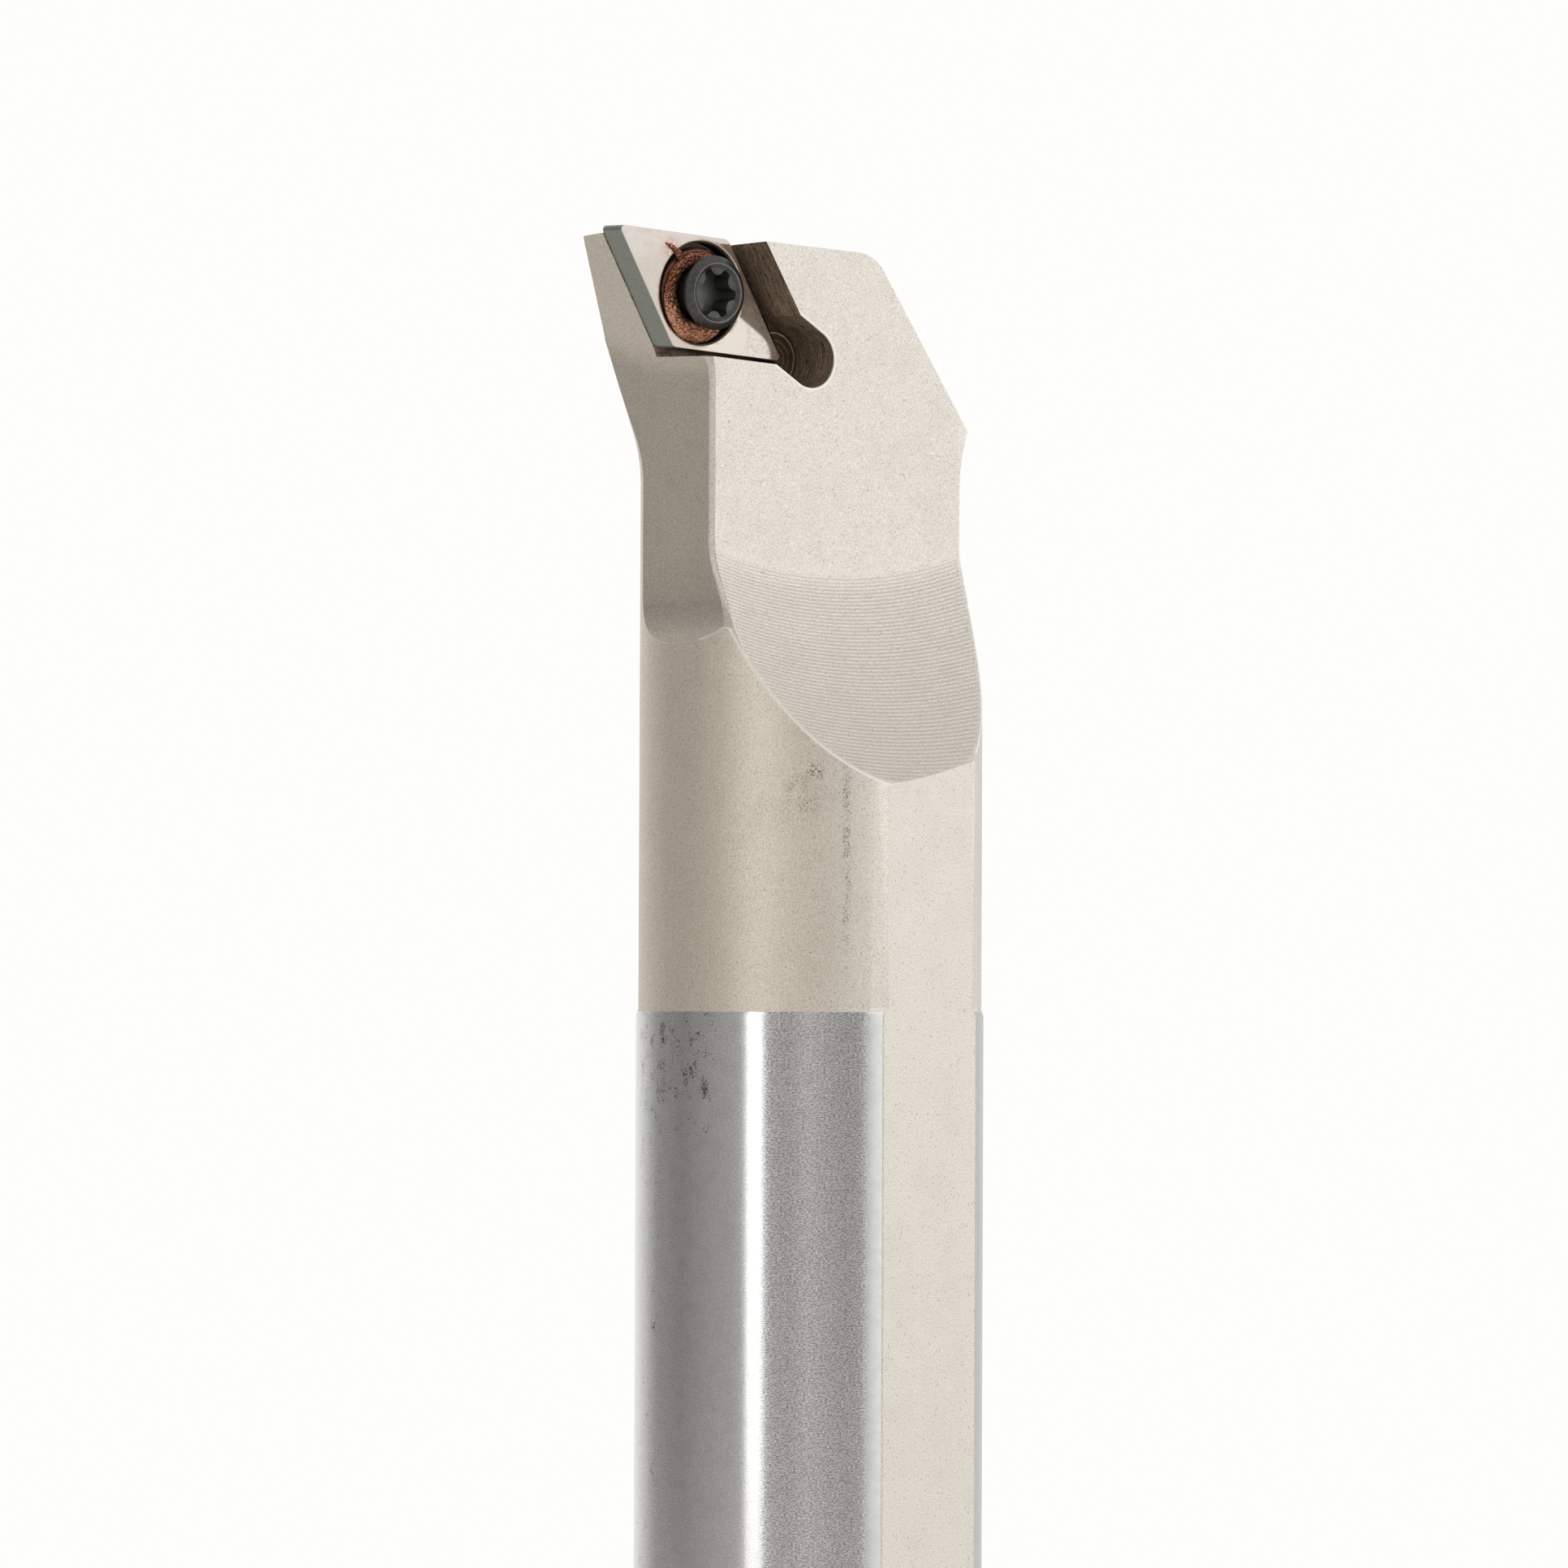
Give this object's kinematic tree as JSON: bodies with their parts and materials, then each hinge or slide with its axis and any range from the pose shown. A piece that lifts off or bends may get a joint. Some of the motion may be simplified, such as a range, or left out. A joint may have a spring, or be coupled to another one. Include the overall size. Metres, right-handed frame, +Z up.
{
  "type": "indexable boring bar",
  "caption": "Indexable boring bar with a round clamping shank, a flat for the set screws, a chip scoop and a screw-clamp seat for a rhombic insert.",
  "frame": {"origin": "centre of the shank's end face, on the bar axis", "axes": "+Z up the bar to the cutting head, -Y out of the clamping flat, -X towards the cutting corner"},
  "size_m": [0.0293, 0.0285, 0.1998],
  "materials": {
    "bar_steel": "ground shank, blasted and nickel-coloured neck and head, machined dark pocket",
    "carbide": "ground top, dark grey-green sides",
    "bush_steel": "dark machined steel with copper grease",
    "screw_steel": "black oxide"
  },
  "bodies": {
    "bar": {"bar_body": "bar_steel", "shim": "carbide", "shim_screw": "bush_steel"},
    "screw": {"insert_screw": "screw_steel"}
  },
  "joints": [
    {"name": "insert_screw_turn", "type": "hinge", "parent": "bar", "child": "screw", "pos_m": [-0.00882, 0.00281, 0.1952], "axis": [-0.1546, -0.987, -0.0436], "range_deg": [-360, 1440]}
  ]
}
